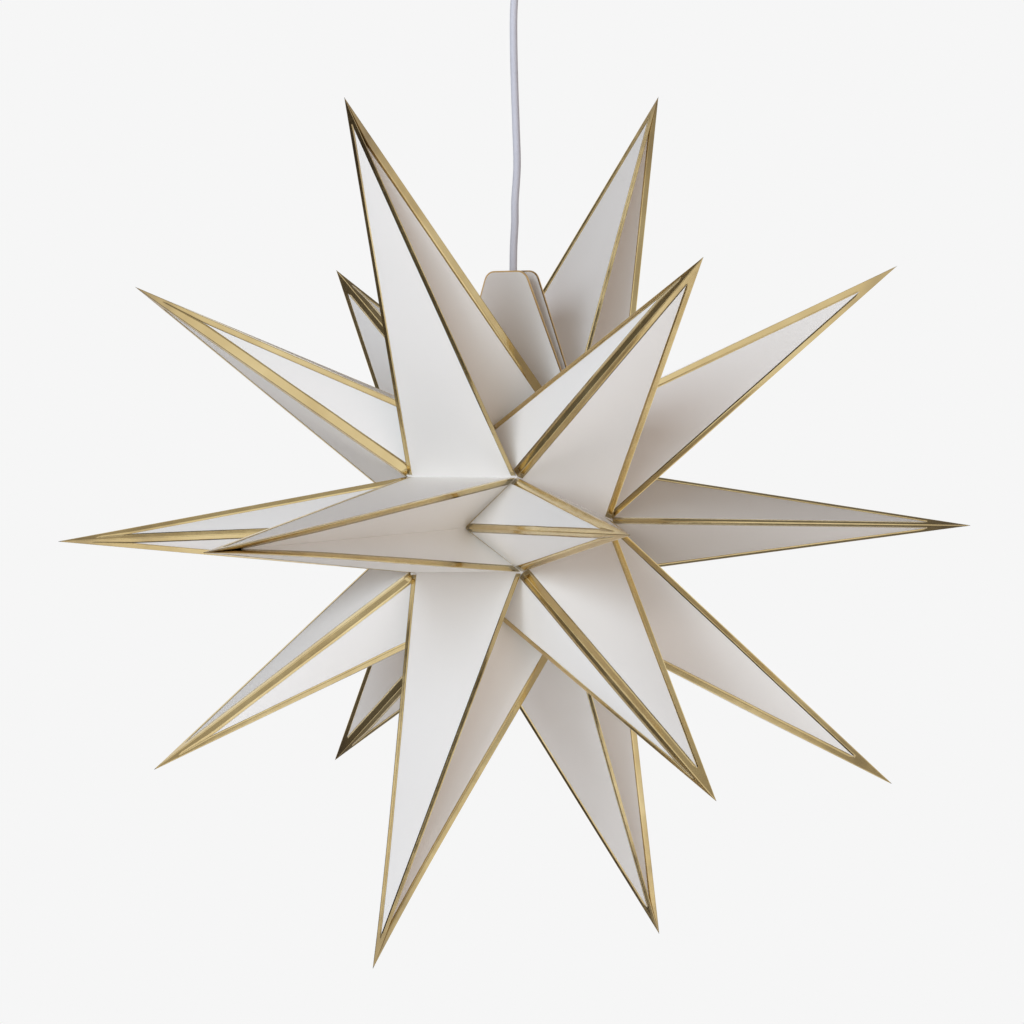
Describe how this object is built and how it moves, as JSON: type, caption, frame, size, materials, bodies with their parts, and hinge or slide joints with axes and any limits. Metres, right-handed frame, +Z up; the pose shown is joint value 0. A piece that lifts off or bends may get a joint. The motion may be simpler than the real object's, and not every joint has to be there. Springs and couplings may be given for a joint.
{
  "type": "paper advent star",
  "caption": "Folding white card star with long hollow points edged in gold foil, hung on its lamp cord between two cover boards from a small ceiling fitting.",
  "frame": {"origin": "middle of the ceiling bar's top face, on the ceiling, halfway between its two screw holes", "axes": "+Z up into the ceiling; -Y the side of the front cover; +X along the star's level axis, which passes 0.37 m under the origin; metres"},
  "size_m": [0.4208, 0.6006, 0.6322],
  "materials": {
    "card": "smooth matt white card, faintly warm in the folds",
    "cover_board": "smooth matt white board",
    "gold_foil": "mirror-bright gold foil with fine creases and scuffs",
    "cord": "smooth white cord sheath, faintly lavender",
    "white_plastic": "moulded white, half gloss",
    "bulb_glass": "opal white, satin",
    "steel": "zinc-plated, dull bright"
  },
  "bodies": {
    "root": {"leaf_1": "card", "leaf_2": "card", "leaf_3": "card", "leaf_4": "card", "leaf_5": "card", "leaf_6": "card", "gold_edging_1": "gold_foil", "gold_edging_2": "gold_foil", "gold_edging_3": "gold_foil", "gold_edging_4": "gold_foil", "gold_edging_5": "gold_foil", "gold_edging_6": "gold_foil", "front_cover": "cover_board", "back_cover": "cover_board", "front_cover_edging": "gold_foil", "back_cover_edging": "gold_foil", "lamp_cord": "cord", "lamp_holder_cap": "white_plastic", "lamp_holder": "white_plastic", "bulb": "bulb_glass", "cord_grip": "white_plastic", "ceiling_cup": "white_plastic", "cup_screws": "steel", "ceiling_bar": "steel", "terminal_block": "white_plastic"}
  },
  "joints": []
}
